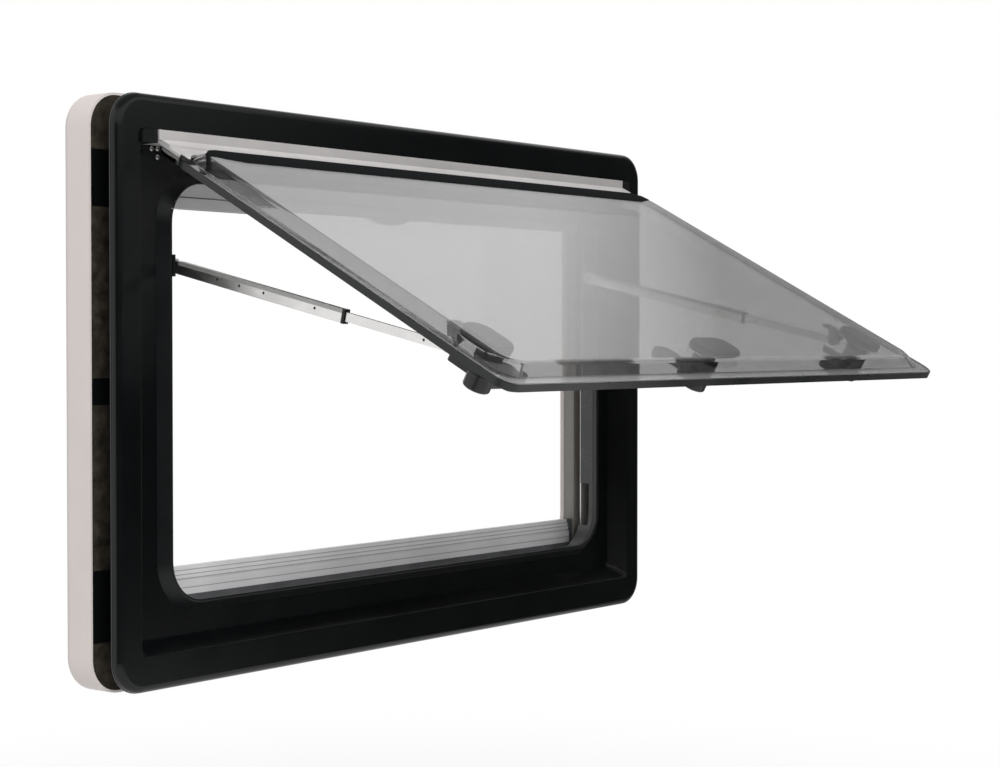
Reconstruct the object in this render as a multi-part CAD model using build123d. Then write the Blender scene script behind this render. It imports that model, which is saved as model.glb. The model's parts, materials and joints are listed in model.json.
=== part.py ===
"""Top-hung caravan window, opened, in millimetres.

X runs right as seen from outside, the outside faces -Y and +Z is up. The
origin is the middle of the bottom edge of the wall cut-out, on the wall's
outer face. Pieces on the pane are drawn closed and then swung open. On the
pane, lengths run along it from the hinge axis or square to it, outward.
"""
import os
from math import atan2, cos, degrees, hypot, radians, sin

from build123d import *

# Wall cut-out and outer frame
CUT_W = 800.0
CUT_H = 500.0
CUT_CLEAR = 1.0
OVERLAP = 18.0
CORNER_R = 30.0
FLANGE_T = 10.0
FRONT_ROUND = 7.0
COLLAR_BACK = 16.0
RECESS_SIDE = 28.0
RECESS_TOP = 32.0
RECESS_BOTTOM = 32.5
RECESS_DEPTH = 20.0
RECESS_RUN = 12.0
RECESS_R = 6.0
RECESS_ROUND = 1.6
OPEN_INSET = 70.0
OPEN_R = 44.0

# Liner of the opening, slotted where the latches swing
LINER_FRONT_GAP = 0.3
LINER_BACK_Y = 28.0
LINER_T = 3.5
LINER_SKIN = 0.8
SLOT_NEAR = 11.0
SLOT_FAR = 38.0

# Rubber lip round the opening
SEAL_FOOT_OUT = 65.0
SEAL_FOOT_IN = 71.0
SEAL_CREST_OUT = 73.5
SEAL_CREST_IN = 77.5
SEAL_CREST_Y = 0.0
SEAL_ROUND = 1.4
SEAL_R_STEP = 4.0
SEAL_FOOT_R_STEP = 1.0

# Hinge, its axis along X
HINGE_Y = -9.0
HINGE_DROP = 38.5
OPEN_DEG = 61.7
BEAD_R = 4.0
BEAD_GAP = 0.4
CAP_W = 18.0
RAIL_FRONT_Y = -15.0
RAIL_BACK_Y = 8.0
RAIL_NOSE_DROP = 2.5
RAIL_LEG_DROP = 5.5
RAIL_LEG_IN = 3.6
CAP_FRONT_Y = -13.0
CAP_ROUND = 4.0

# Leaf on the pane's top edge
LEAF_SHORT = 1.0
LEAF_START = 8.0
LEAF_MID = 20.0
LEAF_END = 36.0
LEAF_UNDER = -3.3
LEAF_HIGH = 1.5
LEAF_LOW = -0.8
NECK_IN = -3.0
NECK_OUT = -1.0

# Pane
PANE_CLEAR = 8.0
PANE_DROP = 8.0
PANE_R = 18.0
SHEET_GAP = 0.3
SHEET_OUT = 0.5
SHEET_T = 4.0
DOME_INSET = 12.0
DOME_RUN = 10.0
DOME_TOP = 37.5
DOME_TOP_RUN = 6.5
DOME_H = 8.0
DOME_R = 20.0
DOME_ROUND = 9.0
DOME_SKIN = 3.5
INNER_STEP = 2.0
INNER_TOP = 10.0
INNER_T = 3.0

# Inner frame
WALL_GAP = 24.0
INNER_DEPTH = 36.0
INNER_OVER = 2.0
INNER_WALL = 4.0
INNER_PLATE = 5.0
INNER_PAD = 20.0
INNER_PAD_STEP = 1.0
INNER_RIM = 40.0
INNER_RIM_R = 20.0
INNER_EDGE = 67.0
INNER_ROUND = 8.0

# Blinds in the inner frame
GUIDE_OUT = 45.0
GUIDE_IN = 66.0
GROOVE_W = 9.0
GROOVE_D = 12.0
GROOVE_A_Y = 32.0
GROOVE_B_Y = 43.0
CASSETTE_INSET = 30.0
BAR_T = 8.0
BAR_CAP_L = 7.6
BAR_CAP_GAP = 0.4
BAR_TONGUE = 8.0
BAR_TONGUE_T = 6.0
TOP_BAR_LOW = 97.0
BOTTOM_BAR_HIGH = 102.0
BAR_STEP = 1.2
BAR_RIBS = 3
BAR_RIB = 4.0
BAR_BAND = 10.0
BAR_LINE = 1.6
GRIP_W = 70.0
GRIP_H = 7.0

# Clamp blocks in the wall gap
CLAMP_LEN = 30.0
CLAMP_W = 14.0
CLAMP_INSET = 22.0
CLAMP_X_PART = 0.3125
CLAMP_Z_PART = 0.09

# Latches on the inner sheet
LATCH_SIDE = 60.0
LATCH_UP = 67.0
LATCH_BOTTOM_UP = 57.0
BOSS_LEN = 46.0
BOSS_W = 33.0
BOSS_SHIFT = 5.0
BOSS_BOTTOM_LEN = 60.0
BOSS_TOP = 4.0
BOSS_FIT = 0.3
BOSS_ROUND = 2.0
DRUM_R = 12.0
DRUM_BACK_Y = 17.5
LEVER_FRONT_Y = 17.9
LEVER_BACK_Y = 32.0
LEVER_ROUND = 2.0
TONGUE_FRONT_Y = 18.5
TONGUE_BACK_Y = 23.5
HANDLE_FRONT_Y = 21.0
HANDLE_BACK_Y = 30.0
LEVER_PIN_R = 4.0
LEVER_PIN_GAP = 0.3
HANDLE_LEN = 52.0
NECK_W = 14.0
PADDLE_W = 26.0
PADDLE_L = 26.0
PADDLE_R = 10.0
LEVER_TURN = -90.0
TONGUE_LEN = 36.0
TONGUE_W = 11.0
STRIKER_T = 1.5
STRIKER_W = 7.0

# Telescopic stays
STAY_IN = 6.8
STAY_Y = 8.0
STAY_DROP = 113.5
STAY_UP = 100.0
STAY_Q = 20.0
CHANNEL_LEN = 216.0
CHANNEL_W = 12.0
CHANNEL_T = 6.4
CHANNEL_BORE_W = 9.0
CHANNEL_BORE_T = 5.0
CHANNEL_ROUND = 0.6
EYE_R = 7.0
EYE_HOLE_R = 3.3
PIVOT_PIN_R = 3.0
ROD_LEN = 170.0
ROD_W = 8.0
ROD_T = 4.0
ROD_EYE_R = 5.0
PIVOT_GAP = 0.5
PIVOT_PLATE_T = 2.6
PIVOT_PLATE_W = 20.0
PIVOT_FOOT_GAP = 0.3
BRACKET_GAP = 0.6
BRACKET_T = 3.6
BRACKET_L = 26.0
BRACKET_FOOT_T = 2.0
BRACKET_FOOT_W = 16.0

FRAME_W = CUT_W + 2 * OVERLAP
FRAME_H = CUT_H + 2 * OVERLAP
HALF_W = FRAME_W / 2
MID_Z = CUT_H / 2
FRAME_TOP = CUT_H + OVERLAP
FRAME_BOTTOM = -OVERLAP
RECESS_HIGH = FRAME_TOP - RECESS_TOP
RECESS_LOW = FRAME_BOTTOM + RECESS_BOTTOM
RECESS_HALF = HALF_W - RECESS_SIDE
BASE_Y = RECESS_DEPTH - FLANGE_T
HINGE_Z = FRAME_TOP - HINGE_DROP
RAIL_HALF = RECESS_HALF - CAP_W
LEAF_HALF = RAIL_HALF - LEAF_SHORT
RAIL_LOW = HINGE_Z - RAIL_LEG_DROP
PANE_HALF = RECESS_HALF - PANE_CLEAR
PANE_LEN = HINGE_Z - RECESS_LOW - PANE_DROP
SHEET_FRONT = HINGE_Y - SHEET_OUT
SHEET_BACK = SHEET_FRONT + SHEET_T
INNER_FACE = SHEET_BACK + INNER_T
INNER_BACK = WALL_GAP + INNER_DEPTH
CAVITY_FRONT = WALL_GAP + INNER_PLATE
CAVITY_BACK = INNER_BACK - INNER_PLATE
GUIDE_X = HALF_W - GUIDE_IN
BAR_END = GUIDE_X - BAR_CAP_GAP - BAR_CAP_L
LATCH_X = PANE_HALF - LATCH_SIDE
LATCH_P = PANE_LEN - LATCH_UP
LATCH_BOTTOM_P = PANE_LEN - LATCH_BOTTOM_UP
STAY_X = HALF_W - SEAL_CREST_IN - STAY_IN
STAY_Z = HINGE_Z - STAY_DROP
STAY_P = PANE_LEN - STAY_UP
PIVOT_X = STAY_X + CHANNEL_T / 2 + PIVOT_GAP


def facing(y, z, x=0.0):
    """Upright plane seen from outside, its own axes along X and Z."""
    return Plane(origin=(x, y, z), x_dir=(1, 0, 0), z_dir=(0, -1, 0))


def slab(width, height, radius, y_front, y_back, z_mid=MID_Z, x_mid=0.0):
    """Rounded rectangle facing -Y, between two depths."""
    outline = RectangleRounded(width, height, radius)
    return extrude(facing(y_back, z_mid, x_mid) * outline, y_back - y_front)


def ring_slab(inset, radius, y_front, y_back):
    """Rounded rectangle at one distance inside the frame's outline."""
    return slab(FRAME_W - 2 * inset, FRAME_H - 2 * inset, radius, y_front, y_back)


def box(x_low, x_high, y_low, y_high, z_low, z_high):
    """Box between two corners."""
    middle = ((x_low + x_high) / 2, (y_low + y_high) / 2, (z_low + z_high) / 2)
    return Pos(*middle) * Box(x_high - x_low, y_high - y_low, z_high - z_low)


def frustum(near, far):
    """Solid between two upright rounded rectangles (width, height, radius, y, z)."""
    faces = []
    for width, height, radius, y, z in (near, far):
        faces.append(facing(y, z) * RectangleRounded(width, height, radius))
    return loft(faces, ruled=True)


def along_x(points, x_low, x_high):
    """Outline of (y, z) points run along X."""
    plane = Plane(origin=(x_low, 0, 0), x_dir=(0, 1, 0), z_dir=(1, 0, 0))
    return extrude(plane * make_face(Polyline(*points, close=True)), x_high - x_low)


def rod_x(radius, y, z, x_low, x_high):
    """Round bar along X."""
    plane = Plane(origin=(x_low, y, z), x_dir=(0, 1, 0), z_dir=(1, 0, 0))
    return extrude(plane * Circle(radius), x_high - x_low)


def rod_y(radius, x, z, y_low, y_high):
    """Round bar along Y."""
    return extrude(facing(y_high, z, x) * Circle(radius), y_high - y_low)


def pane_y(square):
    """Depth, pane closed, of a distance square to the pane."""
    return HINGE_Y - square


def pane_z(along):
    """Height, pane closed, of a distance along the pane."""
    return HINGE_Z - along


def opened(shape):
    """Swing a piece drawn closed to the open pane."""
    return Pos(0, HINGE_Y, HINGE_Z) * Rot(-OPEN_DEG, 0, 0) * Pos(0, -HINGE_Y, -HINGE_Z) * shape


def mirrored(shape):
    """The same piece on the other side."""
    return mirror(shape, Plane.YZ)


def front_edges(shape):
    """Edges of the foremost face."""
    return shape.faces().sort_by(Axis.Y)[0].edges()


def back_edges(shape):
    """Edges of the rearmost face."""
    return shape.faces().sort_by(Axis.Y)[-1].edges()


def make_outer_frame():
    flange = slab(FRAME_W, FRAME_H, CORNER_R, -FLANGE_T, 0)
    flange = fillet(front_edges(flange), FRONT_ROUND)
    collar_w = CUT_W - 2 * CUT_CLEAR
    collar_h = CUT_H - 2 * CUT_CLEAR
    collar = slab(collar_w, collar_h, CORNER_R - OVERLAP, 0, COLLAR_BACK)
    near_h = RECESS_HIGH - RECESS_LOW
    near_z = (RECESS_HIGH + RECESS_LOW) / 2
    near = (2 * RECESS_HALF, near_h, RECESS_R, -FLANGE_T, near_z)
    far = (2 * (RECESS_HALF - RECESS_RUN), near_h - 2 * RECESS_RUN, RECESS_R, BASE_Y, near_z)
    frame = flange + collar - frustum(near, far)
    face = frame.faces().filter_by(Axis.Y).sort_by(Axis.Y)[0]
    frame = fillet(face.inner_wires()[0].edges(), RECESS_ROUND)
    frame -= box(-RECESS_HALF, RECESS_HALF, -FLANGE_T, RAIL_BACK_Y, RAIL_LOW, RECESS_HIGH)
    return frame - ring_slab(OPEN_INSET, OPEN_R, -FLANGE_T, COLLAR_BACK)


def make_liner():
    outer = OPEN_INSET - LINER_T
    skin = OPEN_INSET + LINER_SKIN
    front = BASE_Y + LINER_FRONT_GAP
    liner = ring_slab(outer, OPEN_R + LINER_T, COLLAR_BACK, LINER_BACK_Y)
    liner += ring_slab(OPEN_INSET, OPEN_R, front, COLLAR_BACK)
    liner -= ring_slab(skin, OPEN_R - LINER_SKIN, front, LINER_BACK_Y)
    side = HALF_W - outer
    low = pane_z(LATCH_P) - SLOT_NEAR
    high = pane_z(LATCH_P) + SLOT_FAR
    liner -= box(-side, side, COLLAR_BACK, LINER_BACK_Y, low, high)
    return liner - box(-SLOT_FAR, SLOT_NEAR, COLLAR_BACK, LINER_BACK_Y, FRAME_BOTTOM + outer, MID_Z)


def make_seal():
    def outline(inset, radius, y):
        return (FRAME_W - 2 * inset, FRAME_H - 2 * inset, radius, y, MID_Z)

    crest_out = outline(SEAL_CREST_OUT, OPEN_R - SEAL_R_STEP, SEAL_CREST_Y)
    crest_in = outline(SEAL_CREST_IN, OPEN_R - 2 * SEAL_R_STEP, SEAL_CREST_Y)
    foot_out = outline(SEAL_FOOT_OUT, OPEN_R + SEAL_R_STEP, BASE_Y)
    foot_in = outline(SEAL_FOOT_IN, OPEN_R - SEAL_FOOT_R_STEP, BASE_Y)
    lip = frustum(crest_out, foot_out) - frustum(crest_in, foot_in)
    return fillet(front_edges(lip), SEAL_ROUND)


def make_rail():
    leg_y = HINGE_Y + RAIL_LEG_IN
    points = [
        (RAIL_FRONT_Y, HINGE_Z - RAIL_NOSE_DROP),
        (RAIL_FRONT_Y, RECESS_HIGH),
        (RAIL_BACK_Y, RECESS_HIGH),
        (RAIL_BACK_Y, RAIL_LOW),
        (leg_y, RAIL_LOW),
        (leg_y, HINGE_Z),
        (HINGE_Y, HINGE_Z),
    ]
    groove = rod_x(BEAD_R + BEAD_GAP, HINGE_Y, HINGE_Z, -RAIL_HALF, RAIL_HALF)
    return along_x(points, -RAIL_HALF, RAIL_HALF) - groove


def make_hinge_cap():
    cap = box(RAIL_HALF, RECESS_HALF, CAP_FRONT_Y, RAIL_BACK_Y, RAIL_LOW, RECESS_HIGH)
    corner = cap.edges().filter_by(Axis.Y).sort_by(Axis.X)[-2:].sort_by(Axis.Z)[-1]
    return fillet(corner, CAP_ROUND)


def make_hinge_leaf():
    points = [
        (pane_y(NECK_OUT), HINGE_Z),
        (pane_y(NECK_OUT), pane_z(LEAF_START)),
        (pane_y(LEAF_HIGH), pane_z(LEAF_START)),
        (pane_y(LEAF_HIGH), pane_z(LEAF_MID)),
        (pane_y(LEAF_LOW), pane_z(LEAF_MID)),
        (pane_y(LEAF_LOW), pane_z(LEAF_END)),
        (pane_y(LEAF_UNDER), pane_z(LEAF_END)),
        (pane_y(LEAF_UNDER), pane_z(LEAF_START)),
        (pane_y(NECK_IN), pane_z(LEAF_START)),
        (pane_y(NECK_IN), HINGE_Z),
    ]
    bead = rod_x(BEAD_R, HINGE_Y, HINGE_Z, -LEAF_HALF, LEAF_HALF)
    return opened(along_x(points, -LEAF_HALF, LEAF_HALF) + bead)


def make_outer_sheet():
    top = LEAF_END + SHEET_GAP
    height = PANE_LEN - top
    sheet = slab(2 * PANE_HALF, height, PANE_R, SHEET_FRONT, SHEET_BACK, pane_z((PANE_LEN + top) / 2))
    foot_end = PANE_LEN - DOME_INSET
    roof_end = foot_end - DOME_RUN
    roof_top = DOME_TOP + DOME_TOP_RUN
    foot_w = 2 * (PANE_HALF - DOME_INSET)
    foot = (foot_w, foot_end - DOME_TOP, DOME_R, SHEET_FRONT, pane_z((foot_end + DOME_TOP) / 2))
    roof_y = SHEET_FRONT - DOME_H
    roof_z = pane_z((roof_end + roof_top) / 2)
    roof = (foot_w - 2 * DOME_RUN, roof_end - roof_top, DOME_R, roof_y, roof_z)
    dome = fillet(front_edges(frustum(roof, foot)), DOME_ROUND)
    shell = sheet + dome
    inner_roof = thinner(roof, roof_y + DOME_SKIN)
    hollow = frustum(inner_roof, thinner(foot, SHEET_BACK))
    return opened(shell - fillet(front_edges(hollow), DOME_ROUND - DOME_SKIN))


def thinner(outline, y):
    """The same outline one skin further in, at another depth."""
    width, height, radius, _, z = outline
    return width - 2 * DOME_SKIN, height - 2 * DOME_SKIN, radius - DOME_SKIN, y, z


def boss_outline(side, grow=0.0):
    """Middle and size of a latch's boss: (x, height, width along X, length along Z)."""
    if side:
        return LATCH_X + BOSS_SHIFT, pane_z(LATCH_P - BOSS_SHIFT), BOSS_W + grow, BOSS_LEN + grow
    return 0.0, pane_z(LATCH_BOTTOM_P + BOSS_SHIFT), BOSS_BOTTOM_LEN + grow, BOSS_W + grow


def boss_slab(side, y_front, y_back, grow=0.0):
    """Round-ended block through the inner sheet under a latch."""
    x, z, width, length = boss_outline(side, grow)
    return slab(width, length, (BOSS_W + grow) / 2 - BOSS_ROUND, y_front, y_back, z, x)


def make_inner_sheet():
    height = PANE_LEN - INNER_STEP - INNER_TOP
    middle = pane_z((PANE_LEN - INNER_STEP + INNER_TOP) / 2)
    sheet = slab(2 * (PANE_HALF - INNER_STEP), height, PANE_R, SHEET_BACK, INNER_FACE, middle)
    side_hole = boss_slab(True, SHEET_BACK, INNER_FACE, BOSS_FIT)
    sheet -= side_hole
    sheet -= mirrored(side_hole)
    sheet -= boss_slab(False, SHEET_BACK, INNER_FACE, BOSS_FIT)
    return opened(sheet)


def make_inner_frame():
    shell = ring_slab(-INNER_OVER, CORNER_R + INNER_OVER, WALL_GAP, INNER_BACK)
    shell = fillet(back_edges(shell), INNER_ROUND)
    pad_back = WALL_GAP + INNER_PAD_STEP
    shell -= ring_slab(INNER_PAD, CORNER_R - OVERLAP, WALL_GAP, pad_back)
    shell -= ring_slab(INNER_WALL, CORNER_R - INNER_WALL, CAVITY_FRONT, CAVITY_BACK)
    shell -= ring_slab(INNER_RIM, INNER_RIM_R, pad_back, CAVITY_FRONT)
    return shell - ring_slab(INNER_EDGE, OPEN_R, CAVITY_BACK, INNER_BACK)


def make_guide_rail():
    low = FRAME_BOTTOM + INNER_WALL
    high = FRAME_TOP - INNER_WALL
    rail = box(GUIDE_X, HALF_W - GUIDE_OUT, CAVITY_FRONT, CAVITY_BACK, low, high)
    rail -= box(GUIDE_X, GUIDE_X + GROOVE_D, GROOVE_A_Y, GROOVE_A_Y + GROOVE_W, low, high)
    return rail - box(GUIDE_X, GUIDE_X + GROOVE_D, GROOVE_B_Y, GROOVE_B_Y + GROOVE_W, low, high)


def make_cassette(z_low, z_high):
    return box(-GUIDE_X, GUIDE_X, CAVITY_FRONT, CAVITY_BACK, z_low, z_high)


def make_flyscreen_bar():
    front = GROOVE_A_Y + (GROOVE_W - BAR_T) / 2
    back = front + BAR_T
    low = FRAME_TOP - TOP_BAR_LOW
    high = FRAME_TOP - INNER_EDGE
    band = low + BAR_BAND
    points = [
        (front, low),
        (front, band),
        (front + 2 * BAR_STEP, band),
        (front + 2 * BAR_STEP, band + BAR_LINE),
        (front + BAR_STEP, band + BAR_LINE),
        (front + BAR_STEP, high),
        (back, high),
        (back, low),
    ]
    radius = (GRIP_W ** 2 / 4 + GRIP_H ** 2) / (2 * GRIP_H)
    grip = rod_y(radius, 0, low - GRIP_H + radius, front, back)
    grip &= box(-GRIP_W, GRIP_W, front, back, low - GRIP_H, low)
    return along_x(points, -BAR_END, BAR_END) + grip


def make_blackout_bar():
    front = GROOVE_B_Y + (GROOVE_W - BAR_T) / 2
    back = front + BAR_T
    low = FRAME_BOTTOM + INNER_EDGE
    high = FRAME_BOTTOM + BOTTOM_BAR_HIGH
    points = [(back, low), (back, high)]
    for rib in range(BAR_RIBS):
        depth = front + (BAR_RIBS - 1 - rib) * BAR_STEP
        points.append((depth, high - rib * BAR_RIB))
        points.append((depth, high - (rib + 1) * BAR_RIB))
    foot = high - BAR_RIBS * BAR_RIB
    points.append((front + BAR_STEP, foot))
    points.append((front + BAR_STEP, foot - BAR_LINE))
    points.append((front - BAR_STEP, foot - BAR_LINE))
    points.append((front - BAR_STEP, low))
    return along_x(points, -BAR_END, BAR_END)


def make_bar_cap(groove_y, z_low, z_high):
    front = groove_y + (GROOVE_W - BAR_T) / 2
    end = BAR_END + BAR_CAP_L
    head = box(BAR_END, end, front, front + BAR_T, z_low, z_high)
    tongue_y = groove_y + (GROOVE_W - BAR_TONGUE_T) / 2
    return head + box(end, end + BAR_TONGUE, tongue_y, tongue_y + BAR_TONGUE_T, z_low, z_high)


def make_clamp(x, z, upright):
    half_x = (CLAMP_W if upright else CLAMP_LEN) / 2
    half_z = (CLAMP_LEN if upright else CLAMP_W) / 2
    back = WALL_GAP + INNER_PAD_STEP
    return box(x - half_x, x + half_x, COLLAR_BACK, back, z - half_z, z + half_z)


def make_latch_base(side):
    x = LATCH_X if side else 0.0
    z = pane_z(LATCH_P if side else LATCH_BOTTOM_P)
    boss = boss_slab(side, pane_y(BOSS_TOP), INNER_FACE)
    boss = fillet(front_edges(boss), BOSS_ROUND)
    drum = rod_y(DRUM_R, x, z, INNER_FACE, DRUM_BACK_Y)
    pin = rod_y(LEVER_PIN_R, x, z, DRUM_BACK_Y, LEVER_BACK_Y)
    return opened(boss + drum + pin)


def turned(x, z, y_back, turn):
    """Plane for a lever's arm, its upward direction turned from +Z towards +X."""
    return facing(y_back, z, x) * Rot(0, 0, -turn)


def make_lever(side):
    handle_turn, tongue_turn = (LEVER_TURN, 0.0) if side else (0.0, LEVER_TURN)
    x = LATCH_X if side else 0.0
    z = pane_z(LATCH_P if side else LATCH_BOTTOM_P)
    hub = rod_y(DRUM_R, x, z, LEVER_FRONT_Y, LEVER_BACK_Y)
    hub = fillet(back_edges(hub), LEVER_ROUND)
    paddle = Pos(0, HANDLE_LEN - PADDLE_L / 2) * RectangleRounded(PADDLE_W, PADDLE_L, PADDLE_R)
    neck_l = HANDLE_LEN - PADDLE_L / 2
    outline = Pos(0, neck_l / 2) * Rectangle(NECK_W, neck_l) + paddle
    handle = extrude(turned(x, z, HANDLE_BACK_Y, handle_turn) * outline, HANDLE_BACK_Y - HANDLE_FRONT_Y)
    handle = fillet(back_edges(handle), LEVER_ROUND)
    tip = TONGUE_LEN - TONGUE_W / 2
    outline = Pos(0, tip / 2) * Rectangle(TONGUE_W, tip) + Pos(0, tip) * Circle(TONGUE_W / 2)
    tongue = extrude(turned(x, z, TONGUE_BACK_Y, tongue_turn) * outline, TONGUE_BACK_Y - TONGUE_FRONT_Y)
    hole = rod_y(LEVER_PIN_R + LEVER_PIN_GAP, x, z, LEVER_FRONT_Y, LEVER_BACK_Y)
    return opened(hub + handle + tongue - hole)


def make_side_striker():
    edge = HALF_W - OPEN_INSET
    z = pane_z(LATCH_P)
    back = COLLAR_BACK + STRIKER_T
    return box(edge, edge + STRIKER_W, COLLAR_BACK, back, z - SLOT_NEAR, z + SLOT_NEAR)


def make_bottom_striker():
    edge = FRAME_BOTTOM + OPEN_INSET
    back = COLLAR_BACK + STRIKER_T
    return box(-SLOT_NEAR, SLOT_NEAR, COLLAR_BACK, back, edge - STRIKER_W, edge)


def stay_rest():
    """Rest length and angle from straight down of the stay."""
    angle = radians(OPEN_DEG)
    y = HINGE_Y - STAY_P * sin(angle) + STAY_Q * cos(angle)
    z = HINGE_Z - STAY_P * cos(angle) - STAY_Q * sin(angle)
    return hypot(y - STAY_Y, z - STAY_Z), degrees(atan2(STAY_Y - y, STAY_Z - z))


def on_stay(shape):
    """Place a piece drawn hanging from the origin on the right-hand stay."""
    return Pos(STAY_X, STAY_Y, STAY_Z) * Rot(-stay_rest()[1], 0, 0) * shape


def make_stay_pivot():
    half = PIVOT_PLATE_W / 2
    outer = PIVOT_X + PIVOT_PLATE_T
    plate = box(PIVOT_X, outer, STAY_Y - EYE_R, COLLAR_BACK, STAY_Z - half, STAY_Z + half)
    foot_y = BASE_Y + PIVOT_FOOT_GAP
    wall = HALF_W - OPEN_INSET - LINER_SKIN
    foot = box(outer, wall, foot_y, COLLAR_BACK, STAY_Z - half, STAY_Z + half)
    return plate + foot + rod_x(PIVOT_PIN_R, STAY_Y, STAY_Z, STAY_X - CHANNEL_T / 2, PIVOT_X)


def make_stay_channel():
    half = CHANNEL_T / 2
    deep = CHANNEL_W / 2
    tube = box(-half, half, -deep, deep, -CHANNEL_LEN, 0)
    tube = fillet(tube.edges().filter_by(Axis.Z), CHANNEL_ROUND)
    bore_t = CHANNEL_BORE_T / 2
    bore_w = CHANNEL_BORE_W / 2
    tube -= box(-bore_t, bore_t, -bore_w, bore_w, -CHANNEL_LEN, -2 * EYE_R)
    eye = rod_x(EYE_R, 0, 0, -half, half)
    return on_stay(tube + eye - rod_x(EYE_HOLE_R, 0, 0, -half, half))


def make_stay_rod():
    length = stay_rest()[0]
    half = ROD_T / 2
    bar = box(-half, half, -ROD_W / 2, ROD_W / 2, -length, ROD_LEN - length)
    return on_stay(bar + rod_x(ROD_EYE_R, 0, -length, -half, half))


def make_stay_bracket():
    high = STAY_X - ROD_T / 2 - BRACKET_GAP
    low = high - BRACKET_T
    z = pane_z(STAY_P)
    half = BRACKET_L / 2
    tip_y = pane_y(-STAY_Q)
    points = [
        (INNER_FACE, z - half),
        (INNER_FACE, z + half),
        (tip_y, z + ROD_EYE_R),
        (tip_y, z - ROD_EYE_R),
    ]
    web = along_x(points, low, high)
    foot = box(high - BRACKET_FOOT_W, high, INNER_FACE, INNER_FACE + BRACKET_FOOT_T, z - half, z + half)
    return opened(foot + web + rod_x(ROD_EYE_R, tip_y, z, low, high))


guide = make_guide_rail()
hinge_cap = make_hinge_cap()
side_base = make_latch_base(True)
side_lever = make_lever(True)
side_striker = make_side_striker()
stay_pivot = make_stay_pivot()
stay_channel = make_stay_channel()
stay_rod = make_stay_rod()
stay_bracket = make_stay_bracket()
cassette_low = FRAME_BOTTOM + INNER_EDGE
cassette_high = FRAME_TOP - INNER_EDGE
top_cap = make_bar_cap(GROOVE_A_Y, FRAME_TOP - TOP_BAR_LOW, cassette_high)
bottom_cap = make_bar_cap(GROOVE_B_Y, cassette_low, FRAME_BOTTOM + BOTTOM_BAR_HIGH)
clamp_edge = CLAMP_INSET + CLAMP_W / 2
clamp_x = HALF_W - clamp_edge
clamp_low = FRAME_BOTTOM + clamp_edge
clamp_high = FRAME_TOP - clamp_edge
clamp_along = CUT_W * CLAMP_X_PART
clamp_lower = CUT_H * CLAMP_Z_PART
clamp_upper = CUT_H - clamp_lower

nodes = {
    "outer_frame": make_outer_frame(),
    "reveal_liner": make_liner(),
    "opening_seal": make_seal(),
    "hinge_rail": make_rail(),
    "hinge_cap_left": mirrored(hinge_cap),
    "hinge_cap_right": hinge_cap,
    "inner_frame": make_inner_frame(),
    "cassette_top": make_cassette(cassette_high, FRAME_TOP - CASSETTE_INSET),
    "cassette_bottom": make_cassette(FRAME_BOTTOM + CASSETTE_INSET, cassette_low),
    "guide_rail_left": mirrored(guide),
    "guide_rail_right": guide,
    "flyscreen_bar": make_flyscreen_bar(),
    "blackout_bar": make_blackout_bar(),
    "flyscreen_cap_left": mirrored(top_cap),
    "flyscreen_cap_right": top_cap,
    "blackout_cap_left": mirrored(bottom_cap),
    "blackout_cap_right": bottom_cap,
    "clamp_top_left": make_clamp(-clamp_along, clamp_high, False),
    "clamp_top_right": make_clamp(clamp_along, clamp_high, False),
    "clamp_bottom_left": make_clamp(-clamp_along, clamp_low, False),
    "clamp_bottom_right": make_clamp(clamp_along, clamp_low, False),
    "clamp_left_lower": make_clamp(-clamp_x, clamp_lower, True),
    "clamp_left_upper": make_clamp(-clamp_x, clamp_upper, True),
    "clamp_right_lower": make_clamp(clamp_x, clamp_lower, True),
    "clamp_right_upper": make_clamp(clamp_x, clamp_upper, True),
    "stay_pivot_left": mirrored(stay_pivot),
    "stay_pivot_right": stay_pivot,
    "striker_left": mirrored(side_striker),
    "striker_right": side_striker,
    "striker_bottom": make_bottom_striker(),
    "outer_sheet": make_outer_sheet(),
    "inner_sheet": make_inner_sheet(),
    "hinge_leaf": make_hinge_leaf(),
    "latch_base_left": mirrored(side_base),
    "latch_base_right": side_base,
    "latch_base_bottom": make_latch_base(False),
    "latch_lever_left": mirrored(side_lever),
    "latch_lever_right": side_lever,
    "latch_lever_bottom": make_lever(False),
    "stay_bracket_left": mirrored(stay_bracket),
    "stay_bracket_right": stay_bracket,
    "stay_channel_left": mirrored(stay_channel),
    "stay_channel_right": stay_channel,
    "stay_rod_left": mirrored(stay_rod),
    "stay_rod_right": stay_rod,
}

os.makedirs("parts", exist_ok=True)
for name, shape in nodes.items():
    export_step(shape, os.path.join("parts", name + ".step"))
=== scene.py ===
"""Looks of a top-hung caravan window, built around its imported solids.

The file is laid out as an add-on and is run as a script. The scene is in
metres, in the solids' own frame: X right as seen from outside, the outside
faces -Y and +Z is up. Tables of fittings are in millimetres, and tables of the
stage are in metres.
"""
import json
import math

import bmesh
import bpy
from bpy.props import FloatProperty, FloatVectorProperty, IntProperty, PointerProperty
from bpy.types import NodeSocket, Operator, Panel, PropertyGroup
from mathutils import Matrix, Vector


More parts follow.
